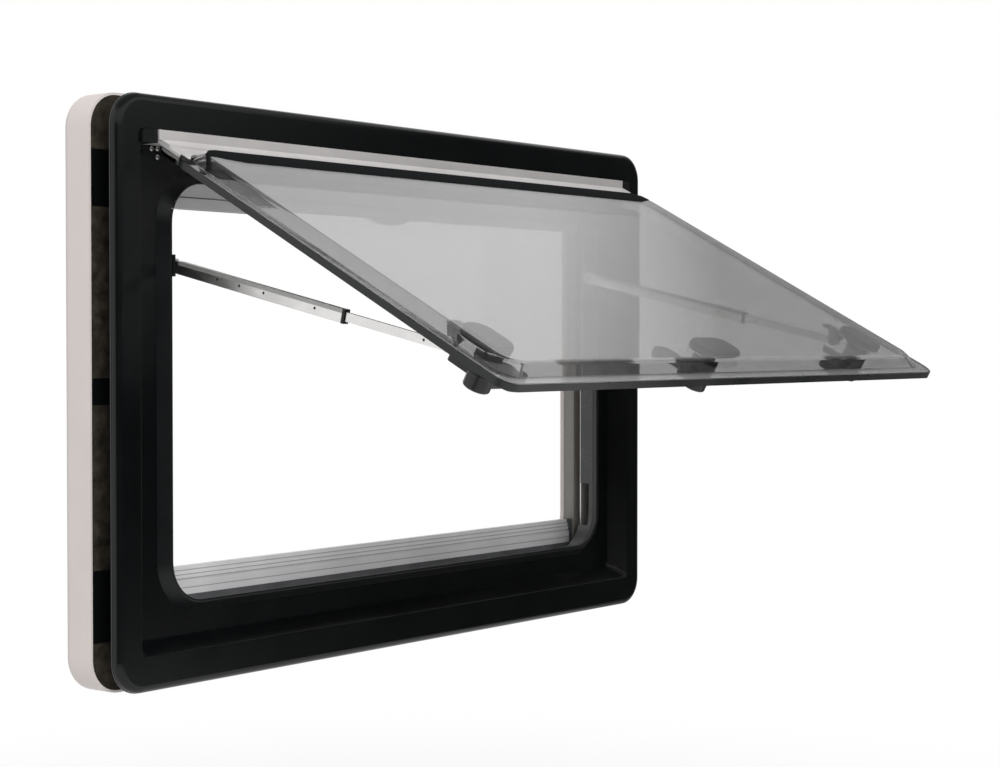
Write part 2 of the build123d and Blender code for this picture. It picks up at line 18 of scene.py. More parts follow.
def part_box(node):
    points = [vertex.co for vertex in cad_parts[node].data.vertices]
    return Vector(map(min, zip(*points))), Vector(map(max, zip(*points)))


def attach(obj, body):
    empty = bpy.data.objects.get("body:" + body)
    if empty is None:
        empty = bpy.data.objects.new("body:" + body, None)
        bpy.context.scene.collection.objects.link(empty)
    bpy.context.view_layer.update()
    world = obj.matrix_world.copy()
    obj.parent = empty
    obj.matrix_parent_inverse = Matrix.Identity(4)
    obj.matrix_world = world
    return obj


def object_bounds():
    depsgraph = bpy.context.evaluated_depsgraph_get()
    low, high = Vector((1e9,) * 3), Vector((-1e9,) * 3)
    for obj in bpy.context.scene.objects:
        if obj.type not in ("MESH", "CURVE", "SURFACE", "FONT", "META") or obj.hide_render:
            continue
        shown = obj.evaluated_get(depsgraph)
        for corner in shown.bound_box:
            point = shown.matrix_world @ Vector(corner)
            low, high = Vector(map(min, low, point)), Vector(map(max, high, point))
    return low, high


bl_info = {
    "name": "Caravan window",
    "version": (1, 0, 0),
    "blender": (4, 5, 0),
    "location": "View3D > Sidebar > Window",
    "description": "Dresses a top-hung caravan window with its finishes and small fittings",
    "category": "Object",
}

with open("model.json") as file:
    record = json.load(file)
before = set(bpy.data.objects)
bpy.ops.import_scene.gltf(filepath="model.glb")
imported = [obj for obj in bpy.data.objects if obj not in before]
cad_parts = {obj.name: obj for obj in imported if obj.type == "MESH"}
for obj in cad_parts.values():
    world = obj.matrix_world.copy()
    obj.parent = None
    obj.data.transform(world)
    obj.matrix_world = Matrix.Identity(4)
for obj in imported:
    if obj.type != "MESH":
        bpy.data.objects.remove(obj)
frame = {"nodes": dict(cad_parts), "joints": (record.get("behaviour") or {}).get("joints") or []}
CAD_BOX = [list(corner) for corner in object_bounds()]
NODES = frame["nodes"]
JOINTS = {joint["name"]: joint for joint in frame["joints"]}

MM = 0.001
HINGE = Vector(JOINTS["pane_hinge"]["pos_m"])
OPEN_ANGLE = math.radians(-JOINTS["pane_hinge"]["range_deg"][0])
# From the closed pane's place to its place at rest
SWUNG = Matrix.Translation(HINGE) @ Matrix.Rotation(-OPEN_ANGLE, 4, "X") @ Matrix.Translation(-HINGE)
ROOMWARD = Vector((0.0, 1.0, 0.0))
SIDES = {"left": -1.0, "right": 1.0}
LATCHES = ("left", "right", "bottom")

# Range of most of a noise's values
NOISE_LOW = 0.3
NOISE_HIGH = 0.7
# Stretches of a metal's noise, its lines along an axis
ALONG_X = (0.02, 1.0, 1.0)
ALONG_Z = (1.0, 1.0, 0.02)
ALONG_STAY = (1.0, 0.03, 0.06)
NO_LINES = (1.0, 1.0, 1.0)
# Steps in a rounded corner and its least radius
CORNER_STEPS = 10
CORNER_LEAST = 3.0
# Profile of a screw's head, and sizes and level of its cross, as shares of its radius
SCREW_HEAD = ((0.0, 0.0), (0.95, 0.0), (1.0, 0.12), (0.94, 0.36), (0.72, 0.56), (0.42, 0.64), (0.0, 0.66))
SCREW_CROSS = (1.0, 0.22, 0.10)
CROSS_LEVEL = 0.63


# Properties

def colour(label, about, default):
    """Colour property."""
    return FloatVectorProperty(
        name=label, description=about, default=default, subtype="COLOR", min=0.0, max=1.0
    )


def size(label, about, default_mm):
    """Length property with its default in millimetres."""
    return FloatProperty(
        name=label, description=about, default=default_mm * MM, min=0.0, unit="LENGTH", precision=4
    )


def amount(label, about, default, least=0.0, unit="NONE"):
    """Number property."""
    return FloatProperty(name=label, description=about, default=default, min=least, unit=unit)


class WindowFinishes(PropertyGroup):
    """Colours of the window's materials."""

    frame_black: colour("Frame", "Satin black of the outer frame", (0.0030, 0.0036, 0.0039))
    # Painted reflection: the liner's lighter grey stands for the sheen of the glossy reveal
    liner_painted_reflection: colour("Liner", "Dark grey of the opening's liner", (0.055, 0.058, 0.056))
    edging_grey: colour("Edging", "Grey of the flange's rubber edging", (0.030, 0.031, 0.032))
    rubber_black: colour("Rubber", "Black of the lip and the gaskets", (0.008, 0.009, 0.0095))
    fitting_black: colour("Fittings", "Black of latches, caps and brackets", (0.0075, 0.0082, 0.0085))
    cream: colour("Inner frame", "Off-white of the inner frame", (0.76, 0.692, 0.664))
    guide_grey: colour("Guides", "Grey beige of the blind guides", (0.30, 0.285, 0.265))
    rail_metal: colour("Hinge rail", "Drawn aluminium of the hinge rail", (0.80, 0.775, 0.765))
    bar_metal: colour("Blind bars", "Anodised aluminium of the end bars", (0.86, 0.86, 0.87))
    leaf_metal: colour("Hinge leaf", "Drawn aluminium of the leaf on the pane", (0.80, 0.78, 0.77))
    # Painted shade: this darker metal makes the stay lips and the bar lines, which stand for shade; the
    # rivets are this dull aluminium in their own right
    rivet_and_painted_shade_metal: colour("Stay lip", "Dull aluminium of stay lips, rivets and bar lines", (0.42, 0.42, 0.41))
    stay_metal: colour("Stays", "Aluminium of the stays and the guides' beads", (0.80, 0.79, 0.775))
    screw_metal: colour("Hinge screws", "Nickel of the hinge screws", (0.55, 0.54, 0.52))
    acrylic_tint: colour("Pane", "Grey tint of one acrylic sheet", (0.635, 0.63, 0.63))
    brush_grey: colour("Brush", "Grey of the brush and the bars' caps", (0.11, 0.113, 0.118))
    gap_brown: colour("Wall gap", "Brown of the foam tape", (0.036, 0.031, 0.024))
    # Painted shade: the clamp screws are kept dark for the shade of the wall gap they sit in
    shaded_clamp_screw_metal: colour("Clamp screws", "Browned steel of the clamps' screws", (0.10, 0.085, 0.07))
    bond_grey: colour("Pane bond", "Dark grey of the bond round the sheets", (0.015, 0.0165, 0.016))


class WindowFittings(PropertyGroup):
    """Sizes of the small fittings."""

    inner_corner: size("Inner corner", "Corner radius of the inner frame", 32.0)
    flange_corner: size("Flange corner", "Corner radius of the outer flange", 30.0)
    pane_corner: size("Pane corner", "Corner radius of the acrylic sheets", 18.0)
    screw_head: size("Screw head", "Diameter of the clamp screws' heads", 7.0)
    screw_sunk: size("Screw depth", "Depth of the clamp screws", 2.0)
    small_head: size("Small screw head", "Diameter of the hinge screws' heads", 5.0)
    # Painted shade: the pads are dark matt pads on the foam tape, where the wall gap looks dark round its
    # clamps
    shade_pad_thickness: size("Pad", "Thickness of the packing pads", 0.2)
    shade_pad_width: size("Pad width", "Width of the packing pads", 36.0)
    tape_thickness: size("Foam tape", "Thickness of the foam tape", 0.3)
    tape_width: size("Tape width", "Width of the foam tape", 40.0)
    rivet_head: size("Rivet head", "Diameter of the stays' rivets", 9.0)
    stay_hole: size("Stay hole", "Diameter of the index holes in a stay", 2.6)
    brush_height: size("Brush", "Height of the blackout bar's brush", 8.0)
    rib_count: IntProperty(name="Grip ribs", description="Ribs on a latch's handle", default=4, min=0, max=10)


class WindowStage(PropertyGroup):
    """Floor, light and camera."""

    floor_colour: colour("Floor", "Colour of the floor", (0.80, 0.80, 0.80))
    floor_drop: size("Floor drop", "Drop from the window to the floor", 330.0)
    floor_near: size("Shadow floor", "Radius of the floor's shadow", 500.0)
    floor_far: size("White floor", "Radius where plain white starts", 1500.0)
    flag_grey: colour("Flag", "Grey of the reflected cards", (0.012, 0.012, 0.012))
    key_power: amount("Key light", "Power of the main light", 43.0, unit="POWER")
    top_power: amount("Top light", "Power of the light overhead", 12.0, unit="POWER")
    fill_power: amount("Fill light", "Power of the light from the right", 3.0, unit="POWER")
    room_level: amount("Room level", "Strength of the even light around", 0.5)
    lens: amount("Lens", "Focal length on a 36 mm sensor", 73.44, 10.0, "CAMERA")


# Materials

def feed(tree, node, inputs):
    """Set a node's inputs to values, or link them to other nodes' outputs."""
    for name, value in inputs.items():
        if isinstance(value, NodeSocket):
            tree.links.new(value, node.inputs[name])
        else:
            node.inputs[name].default_value = value


def add_node(tree, kind, inputs, **settings):
    """Shader node with its inputs and settings."""
    node = tree.nodes.new("ShaderNode" + kind)
    for name, value in settings.items():
        setattr(node, name, value)
    feed(tree, node, inputs)
    return node


def new_material(name):
    """Node material, its tree and its shader."""
    material = bpy.data.materials.new(name)
    material.use_nodes = True
    tree = material.node_tree
    return material, tree, tree.nodes["Principled BSDF"]


def grain(tree, scale, detail, stretch=NO_LINES):
    """Noise over the object's own coordinates, scale in waves per metre."""
    spot = add_node(tree, "TexCoord", {})
    mapping = add_node(tree, "Mapping", {"Vector": spot.outputs["Object"], "Scale": stretch})
    inputs = {"Vector": mapping.outputs["Vector"], "Scale": scale, "Detail": detail}
    return add_node(tree, "TexNoise", inputs).outputs["Fac"]


def spread(tree, value, low, high):
    """Map a noise value to a range."""
    inputs = {"Value": value, "From Min": NOISE_LOW, "From Max": NOISE_HIGH, "To Min": low, "To Max": high}
    return add_node(tree, "MapRange", inputs).outputs["Result"]


def mottle(tree, value, tone, change):
    """Colour that drifts around a tone by a share of it."""
    ramp = add_node(tree, "ValToRGB", {"Fac": value})
    stops = ((NOISE_LOW, 1.0 - change), (NOISE_HIGH, 1.0 + change))
    for element, (position, share) in zip(ramp.color_ramp.elements, stops):
        element.position = position
        element.color = (*(min(1.0, part * share) for part in tone), 1.0)
    return ramp.outputs["Color"]


def relief(tree, value, depth, strength=1.0):
    """Bump of a depth in millimetres."""
    inputs = {"Height": value, "Distance": depth * MM, "Strength": strength}
    return add_node(tree, "Bump", inputs).outputs["Normal"]


def surface(name, tone, change, rough, depth, noises, inputs, strength=1.0):
    """Material whose colour, roughness and relief follow noises of (scale, detail, stretch)."""
    material, tree, shader = new_material(name)
    drift, matt, bump = (grain(tree, *noise) for noise in noises)
    feed(tree, shader, {
        "Base Color": mottle(tree, drift, tone, change),
        "Roughness": spread(tree, matt, *rough),
        "Normal": relief(tree, bump, depth, strength),
        **inputs,
    })
    return material


def moulded(name, tone, rough, specular, waves=1400.0, depth=0.04, change=0.12, wear=0.05):
    """Moulded plastic or rubber with a fine grain and faint handling marks."""
    marks, fine = (26.0, 5.0), (waves, 2.0)
    rough = (rough - wear, rough + wear)
    return surface(name, tone, change, rough, depth, (marks, marks, fine), {"Specular IOR Level": specular})


def drawn_metal(name, tone, rough, lines=ALONG_X, metallic=1.0, wear=0.07):
    """Drawn or brushed metal with lines along an axis; less metallic where anodised matt."""
    haze, fine = (14.0, 3.0), (1500.0, 2.0, lines)
    rough = (rough - wear, rough + wear)
    return surface(name, tone, 0.06, rough, 0.02, (haze, fine, fine), {"Metallic": metallic})


def cast_acrylic(name, tone):
    """Tinted clear sheet with a faint ripple and a little dust."""
    dust, ripple = (60.0, 4.0), (9.0, 1.0)
    inputs = {"Transmission Weight": 1.0, "IOR": 1.46, "Specular IOR Level": 0.38}
    return surface(name, tone, 0.012, (0.0, 0.02), 0.12, (dust, dust, ripple), inputs, strength=0.4)


def foam(name, tone):
    """Open foam, blotchy and rough."""
    blotch, cells = (90.0, 6.0), (900.0, 3.0)
    return surface(name, tone, 0.55, (0.82, 0.98), 0.4, (blotch, cells, cells), {"Specular IOR Level": 0.1})


def finish_nodes(material, *names):
    """Give solids a finish."""
    for name in names:
        slots = NODES[name].data.materials
        slots.clear()
        slots.append(material)


# Meshes

def scaled(points, unit=MM):
    """Pairs of numbers times a unit."""
    return [(first * unit, second * unit) for first, second in points]


def mm(lengths):
    """Lengths in metres."""
    return [length * MM for length in lengths]


def place(bm, matrix):
    """Move a mesh."""
    bmesh.ops.transform(bm, matrix=matrix, verts=bm.verts)
    return bm


def pointing(position, direction):
    """Matrix that sends +Z along a direction at a place."""
    turn = Vector(direction).to_track_quat("Z", "Y").to_matrix().to_4x4()
    return Matrix.Translation(position) @ turn


def joined(*meshes):
    """One mesh from several."""
    whole = bmesh.new()
    for bm in meshes:
        part = bpy.data.meshes.new("part")
        bm.to_mesh(part)
        bm.free()
        whole.from_mesh(part)
        bpy.data.meshes.remove(part)
    return whole


def linked(name, data):
    """Object in the scene from its data."""
    item = bpy.data.objects.new(name, data)
    bpy.context.scene.collection.objects.link(item)
    return item


def finished_mesh(name, bm, material):
    """Mesh data with one material."""
    mesh = bpy.data.meshes.new(name)
    bm.to_mesh(mesh)
    bm.free()
    mesh.materials.append(material)
    return mesh


def make_piece(name, bm, body, material, smooth_deg=38.0):
    """Add an object that rides on a body and finish."""
    bmesh.ops.recalc_face_normals(bm, faces=bm.faces)
    mesh = finished_mesh(name, bm, material)
    mesh.shade_smooth()
    mesh.set_sharp_from_angle(angle=math.radians(smooth_deg))
    piece = linked(name, mesh)
    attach(piece, body)


def turned(profile, segments=32):
    """Surface of revolution about Z through (radius, height) points."""
    bm = bmesh.new()
    angles = [2.0 * math.pi * step / segments for step in range(segments)]
    circles = []
    for radius, height in profile:
        points = [(radius * math.cos(angle), radius * math.sin(angle), height) for angle in angles]
        if radius <= 0.0:
            points = [(0.0, 0.0, height)]
        circles.append([bm.verts.new(point) for point in points])
    for low, high in zip(circles, circles[1:]):
        for step in range(segments):
            after = (step + 1) % segments
            if len(low) == 1:
                bm.faces.new((low[0], high[step], high[after]))
            elif len(high) == 1:
                bm.faces.new((low[step], high[0], low[after]))
            else:
                bm.faces.new((low[step], low[after], high[after], high[step]))
    return bm


def bar(points, length, bevel):
    """Outline of (x, y) points raised along Z, its edges rounded."""
    bm = bmesh.new()
    base = bm.faces.new([bm.verts.new((x, y, 0.0)) for x, y in points])
    raised = bmesh.ops.extrude_face_region(bm, geom=[base])
    tops = [item for item in raised["geom"] if isinstance(item, bmesh.types.BMVert)]
    bmesh.ops.translate(bm, vec=(0.0, 0.0, length), verts=tops)
    bmesh.ops.recalc_face_normals(bm, faces=bm.faces)
    if bevel > 0.0:
        bmesh.ops.bevel(bm, geom=list(bm.edges), offset=bevel, segments=2, affect="EDGES", profile=0.6)
    return bm


def brick(width, depth, height, bevel):
    """Block about its own middle, with rounded edges."""
    w, d = width / 2, depth / 2
    bm = bar([(-w, -d), (w, -d), (w, d), (-w, d)], height, bevel)
    return place(bm, Matrix.Translation((0.0, 0.0, -height / 2)))


def swept(outlines, closed=False):
    """Solid through outlines of equal length, closed into a ring or with end faces."""
    bm = bmesh.new()
    rows = [[bm.verts.new(point) for point in outline] for outline in outlines]
    for row, following in zip(rows, rows[1:] + rows[:1] if closed else rows[1:]):
        for step in range(len(row)):
            after = (step + 1) % len(row)
            bm.faces.new((row[step], row[after], following[after], following[step]))
    if not closed:
        bm.faces.new(rows[0])
        bm.faces.new(rows[-1][::-1])
    return bm


def sleeve(outer, bore, height):
    """Square sleeve round Z from two (width, depth) sizes, about its own middle."""
    rows = []
    for (width, depth), z in ((outer, -height), (outer, height), (bore, height), (bore, -height)):
        outline = ((-width, -depth), (width, -depth), (width, depth), (-width, depth))
        rows.append([Vector((x / 2, y / 2, z / 2)) for x, y in outline])
    return swept(rows, closed=True)


def loop(low, high, inset, radius, y):
    """Rounded rectangle facing -Y inside two corners, as points."""
    x0, x1 = low[0] + inset, high[0] - inset
    z0, z1 = low[2] + inset, high[2] - inset
    points = []
    for x, z, start in ((x1, z1, 0), (x0, z1, 90), (x0, z0, 180), (x1, z0, 270)):
        x += radius if x == x0 else -radius
        z += radius if z == z0 else -radius
        for step in range(CORNER_STEPS + 1):
            angle = math.radians(start + 90.0 * step / CORNER_STEPS)
            points.append(Vector((x + radius * math.cos(angle), y, z + radius * math.sin(angle))))
    return points


def ring(low, high, corner, section):
    """Closed ring from (inset, depth) points, inside two corners of a box."""
    least = CORNER_LEAST * MM
    loops = [loop(low, high, inset, max(corner - inset, least), y) for inset, y in section]
    return swept(loops, closed=True)


def screw(head):
    """Head of a pan-head screw up from z = 0, and the cross on it."""
    r = head / 2
    crosses = []
    for turn in (0.0, math.pi / 2):
        cut = brick(*(r * share for share in SCREW_CROSS), 0.0)
        level = Matrix.Translation((0.0, 0.0, r * CROSS_LEVEL))
        crosses.append(place(cut, level @ Matrix.Rotation(turn, 4, "Z")))
    return turned(scaled(SCREW_HEAD, r), 28), joined(*crosses)


def add_screws(name, seats, head, metal, dark):
    """Add screws at (place, direction) seats on the frame, their crosses as a piece."""
    heads, crosses = [], []
    for spot, out in seats:
        for parts, mesh in zip((heads, crosses), screw(head)):
            parts.append(place(mesh, pointing(spot, out)))
    make_piece(f"{name}_screws", joined(*heads), "frame", metal)
    make_piece(f"{name}_screw_slots", joined(*crosses), "frame", dark)


def corners(name):
    """Low and high corner of a solid."""
    return [Vector(corner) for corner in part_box(name)]


def closed_box(name):
    """Low and high corner of a solid on the pane, with the pane closed."""
    back = SWUNG.inverted() @ NODES[name].matrix_world
    points = [back @ vertex.co for vertex in NODES[name].data.vertices]
    return [Vector([pick(values) for values in zip(*points)]) for pick in (min, max)]


def finishes():
    """Colours set in the scene."""
    return bpy.context.scene.window_finishes


def fittings():
    """Sizes set in the scene."""
    return bpy.context.scene.window_fittings


# Operators

class WINDOW_OT_outer_frame(Operator):
    """Finish the black outer frame with its liner, grey as a painted reflection, its rubber lip and strikers,
    and edge the flange
    """

    bl_idname = "caravan_window.outer_frame"
    bl_label = "Outer frame"

    # Section of the edging as insets and depths
    EDGING = ((0.3, -1.7), (-0.4, -1.5), (-0.4, -0.3), (0.3, -0.1))

    def execute(self, context):
        tones = finishes()
        satin = {"waves": 1800.0, "depth": 0.01, "wear": 0.015}
        black = moulded("frame_satin_black", tones.frame_black, 0.24, 0.32, **satin)
        finish_nodes(black, "outer_frame")
        # Painted reflection: the liner is lighter grey to show the glossy reveal's sheen
        liner = moulded("liner_dark_grey", tones.liner_painted_reflection, 0.24, 0.5, waves=900.0, depth=0.01)
        finish_nodes(liner, "reveal_liner")
        rubber = moulded("lip_rubber", tones.rubber_black, 0.32, 0.25, waves=700.0, depth=0.02)
        finish_nodes(rubber, "opening_seal")
        fitting = moulded("striker_black", tones.fitting_black, 0.5, 0.3)
        finish_nodes(fitting, *(f"striker_{name}" for name in LATCHES))
        edging = moulded("edging_rubber", tones.edging_grey, 0.36, 0.35, waves=900.0, depth=0.02)
        low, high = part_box("outer_frame")
        strip = ring(low, high, fittings().flange_corner, scaled(self.EDGING))
        make_piece("flange_edging", strip, "frame", edging)
        return {"FINISHED"}


class WINDOW_OT_wall_gap(Operator):
    """Line the wall gap with foam tape, lay dark pads of painted shade on it, and put the screws, dark with
    painted shade, in the clamp blocks
    """

    bl_idname = "caravan_window.wall_gap"
    bl_label = "Wall gap"

    CLAMPS = [name for name in NODES if name.startswith("clamp_")]
    TAPE_INSET = 2.2
    TAPE_SUNK = 0.9
    # Foot and head of each dark pad of painted shade, and share of its thickness out to its middle
    SHADE_PADS = ((27.0, 92.0), (240.0, 264.0), (417.0, 468.0))
    SHADE_PAD_OUT = 0.4
    SHADE_PAD_BEVEL = 0.05
    # Places of a clamp's screws as shares of its length
    SCREW_SHARES = (-0.3, 0.3)

    def execute(self, context):
        tones, sizes = finishes(), fittings()
        black = moulded("clamp_black", tones.fitting_black, 0.5, 0.25)
        finish_nodes(black, *self.CLAMPS)
        low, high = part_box("inner_frame")
        back = low[1] + self.TAPE_SUNK * MM
        front = low[1] - sizes.tape_thickness
        edge = self.TAPE_INSET * MM
        section = [(edge, back), (edge, front), (sizes.tape_width, front), (sizes.tape_width, back)]
        tape = ring(low, high, sizes.inner_corner, section)
        make_piece("wall_gap_tape", tape, "frame", foam("gap_foam", tones.gap_brown))
        # Painted shade: dark matt pads on the tape stand for the shade in the gap round the clamps
        shade_pads = []
        for side in SIDES.values():
            x = side * (high[0] - edge - sizes.shade_pad_width / 2)
            for foot, head in self.SHADE_PADS:
                shade_pad = brick(sizes.shade_pad_width, sizes.shade_pad_thickness, (head - foot) * MM, self.SHADE_PAD_BEVEL * MM)
                middle = (x, front - self.SHADE_PAD_OUT * sizes.shade_pad_thickness, (foot + head) / 2 * MM)
                shade_pads.append(place(shade_pad, Matrix.Translation(middle)))
        matt = moulded("pad_black", tones.frame_black, 0.88, 0.05)
        make_piece("wall_gap_pads", joined(*shade_pads), "frame", matt)
        # Painted shade: the clamp screws' dark colour stands for the shade in the wall gap
        shaded_screw_metal = drawn_metal("screw_browned", tones.shaded_clamp_screw_metal, 0.4, lines=NO_LINES)
        dark = moulded("screw_slot", tones.rubber_black, 0.6, 0.2)
        seats = [seat for name in self.CLAMPS for seat in self.screw_seats(name, sizes.screw_sunk)]
        add_screws("clamp", seats, sizes.screw_head, shaded_screw_metal, dark)
        return {"FINISHED"}

    def screw_seats(self, name, sunk):
        """Places and directions of the two screws in a clamp block's outer side."""
        low, high = corners(name)
        middle, span = (low + high) / 2, high - low
        away = middle - sum(corners("inner_frame"), Vector()) / 2
        across, along = (0, 2) if span.z > span.x else (2, 0)
        out, step = Vector(), Vector()
        out[across] = math.copysign(1.0, away[across])
        step[along] = span[along]
        seat = middle + out * (span[across] / 2 - sunk)
        return [(seat + step * share, out) for share in self.SCREW_SHARES]


class WINDOW_OT_hinge(Operator):
    """Finish the hinge rail, its leaf and its caps, and add the leaf's tabs and the screws"""

    bl_idname = "caravan_window.hinge"
    bl_label = "Hinge"

    # Screws under a cap, as X and Z from its corner
    SCREWS = ((-13.3, -2.6), (-20.6, -2.2), (-20.6, -10.0))
    # Tab's outline, in from the rail's end and down from the hinge
    TAB = (
        (1.0, 35.5), (1.0, 47.0), (3.5, 47.0), (6.0, 44.5),
        (10.0, 40.3), (16.0, 37.2), (20.0, 36.4), (20.0, 35.5),
    )
    # Tab's thickness, bevel and place out from the hinge
    TAB_SIZES = (0.6, 0.1, 0.55)

    def execute(self, context):
        tones = finishes()
        rail = drawn_metal("rail_anodised", tones.rail_metal, 0.36, metallic=0.55)
        finish_nodes(rail, "hinge_rail")
        leaf = drawn_metal("leaf_drawn", tones.leaf_metal, 0.36, metallic=0.4)
        finish_nodes(leaf, "hinge_leaf")
        self.add_tabs(leaf)
        cap = moulded("cap_black", tones.fitting_black, 0.42, 0.2)
        finish_nodes(cap, "hinge_cap_left", "hinge_cap_right")
        nickel = drawn_metal("screw_nickel", tones.screw_metal, 0.25, lines=NO_LINES)
        dark = moulded("nickel_screw_slot", tones.rubber_black, 0.6, 0.2)
        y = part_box("opening_seal")[1][1]
        low = corners("hinge_cap_right")[0]
        seats = []
        for side in SIDES.values():
            for along, up in self.SCREWS:
                seats.append((Vector((side * (low.x + along * MM), y, low.z + up * MM)), -ROOMWARD))
        add_screws("hinge", seats, fittings().small_head, nickel, dark)
        return {"FINISHED"}

    def add_tabs(self, leaf):
        """Tabs at the leaf's ends that lap on to the sheet beside the dome's corners."""
        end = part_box("hinge_rail")[1][0]
        thickness, bevel, out = mm(self.TAB_SIZES)
        seat = Matrix.Translation((0.0, HINGE.y - out, HINGE.z))
        upright = SWUNG @ seat @ Matrix.Rotation(math.pi / 2, 4, "X")
        tabs = []
        for side in SIDES.values():
            points = [(side * (end - inward * MM), -down * MM) for inward, down in self.TAB]
            tabs.append(place(bar(points, thickness, bevel), upright))
        make_piece("hinge_leaf_tabs", joined(*tabs), "pane", leaf)


class WINDOW_OT_inner_frame(Operator):
    """Finish the cream inner frame, the blind guides and the cassettes, and add plugs and trims"""

    bl_idname = "caravan_window.inner_frame"
    bl_label = "Inner frame"

    # Cover: out from the guide, back from its middle, thickness, how much narrower, bevel
    COVER = (0.2, 6.7, 0.3, 13.0, 0.1)
    # Bead: radius, and back from the guide's front
    BEAD = (1.1, 1.4)
    # Plugs: profile, inset from the edges, shares of the width and height
    PLUG = ((0.0, 0.0), (4.5, 0.0), (4.5, 0.6), (3.87, 1.2), (1.35, 1.2), (0.0, 0.96))
    PLUG_INSET = 34.0
    PLUGS_ACROSS = (0.08, 0.5, 0.92)
    PLUGS_UP = (0.35, 0.65)

    def execute(self, context):
        tones = finishes()
        cream = moulded("inner_cream", tones.cream, 0.44, 0.35, waves=500.0, depth=0.02, change=0.02)
        finish_nodes(cream, "inner_frame", "cassette_top", "cassette_bottom")
        guide = moulded("guide_grey", tones.guide_grey, 0.38, 0.45, waves=700.0, depth=0.02, change=0.06)
        finish_nodes(guide, "guide_rail_left", "guide_rail_right")
        self.add_trims(guide, drawn_metal("bead_drawn", tones.stay_metal, 0.3, lines=ALONG_Z))
        self.add_plugs(cream)
        return {"FINISHED"}

    def add_trims(self, guide, metal):
        """Cover strip and bright bead along each guide, between the cassettes."""
        low, high = corners("guide_rail_right")
        foot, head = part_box("cassette_bottom")[1][2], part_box("cassette_top")[0][2]
        height = head - foot
        out, back, thickness, narrower, bevel = mm(self.COVER)
        r, bead_back = mm(self.BEAD)
        covers, beads = [], []
        for side in SIDES.values():
            face = side * (low.x - out)
            cover = brick(thickness, high.y - low.y - narrower, height, bevel)
            middle = (face, (low.y + high.y) / 2 + back, (foot + head) / 2)
            covers.append(place(cover, Matrix.Translation(middle)))
            bead = turned([(0.0, 0.0), (r, 0.0), (r, height), (0.0, height)], 16)
            beads.append(place(bead, Matrix.Translation((face, low.y + bead_back, foot))))
        make_piece("guide_covers", joined(*covers), "frame", guide)
        make_piece("guide_beads", joined(*beads), "frame", metal)

    def add_plugs(self, cream):
        """Round plugs over the screws in the room side of the inner frame."""
        low, high = corners("inner_frame")
        inset = self.PLUG_INSET * MM
        spots = []
        for share in self.PLUGS_ACROSS:
            x = low.x + (high.x - low.x) * share
            spots += [(x, low.z + inset), (x, high.z - inset)]
        for share in self.PLUGS_UP:
            z = low.z + (high.z - low.z) * share
            spots += [(low.x + inset, z), (high.x - inset, z)]
        profile = scaled(self.PLUG)
        plugs = [place(turned(profile), pointing((x, high.y, z), ROOMWARD)) for x, z in spots]
        make_piece("inner_frame_plugs", joined(*plugs), "frame", cream)


class WINDOW_OT_blinds(Operator):
    """Finish the end bars of the two blinds and their caps, and add the brush and dark lines of painted shade
    along the bars' steps
    """

    bl_idname = "caravan_window.blinds"
    bl_label = "Blinds"

    # Heights of the dark lines of painted shade at each bar's steps, from its foot
    SHADE_LINES = {"flyscreen_bar": (3.5, 18.0), "blackout_bar": (14.5, 23.0, 27.0, 31.0)}
    # A line of painted shade: how much shorter than its bar, depth, height, bevel
    SHADE_LINE = (1.0, 0.2, 0.8, 0.08)
    # Start of the ray that finds a bar's face
    PROBE = 50.0
    # Brush's tufts, and how far they stand out in turn
    TUFT_COUNT = 172
    TUFTS_OUT = (0.6, 0.9)

    def execute(self, context):
        tones = finishes()
        metal = drawn_metal("bar_anodised", tones.bar_metal, 0.40, metallic=0.12)
        finish_nodes(metal, *self.SHADE_LINES)
        cap = moulded("bar_cap_dark", tones.brush_grey, 0.45, 0.4)
        for side in SIDES:
            finish_nodes(cap, f"flyscreen_cap_{side}", f"blackout_cap_{side}")
        # Painted shade: darker lines along the bars' steps, where light and shade fall on the steps
        grey = drawn_metal("bar_line_grey", tones.rivet_and_painted_shade_metal, 0.45, metallic=0.12)
        shorter, *section = mm(self.SHADE_LINE)
        for name, heights in self.SHADE_LINES.items():
            low, high = corners(name)
            lines = []
            for height in heights:
                shade_line = brick(high.x - low.x - shorter, *section)
                z = low.z + height * MM
                lines.append(place(shade_line, Matrix.Translation((0.0, self.depth_at(name, z), z))))
            make_piece(name + "_lines", joined(*lines), "frame", grey)
        self.add_brush(tones)
        return {"FINISHED"}

    def depth_at(self, name, z):
        """Depth of a bar's front face at a height, or 0 where the ray misses the bar."""
        low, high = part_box(name)
        start = Vector((high[0] / 2, low[1] - self.PROBE * MM, z))
        return NODES[name].ray_cast(start, ROOMWARD)[1].y

    def add_brush(self, tones):
        """Brush pile that closes the gap in front of the blackout bar's foot."""
        low, high = corners("blackout_bar")
        tall = fittings().brush_height
        step = (high.x - low.x) / self.TUFT_COUNT
        rows = []
        for index in range(self.TUFT_COUNT + 1):
            front = low.y - self.TUFTS_OUT[index % 2] * MM
            outline = ((low.y, 0.0), (front, 0.0), (front, tall), (low.y, tall))
            rows.append([Vector((low.x + index * step, y, low.z + up)) for y, up in outline])
        pile = moulded("brush_pile", tones.brush_grey, 0.7, 0.2, waves=1600.0, depth=0.1, change=0.2)
        make_piece("blackout_brush", swept(rows), "frame", pile, smooth_deg=20.0)


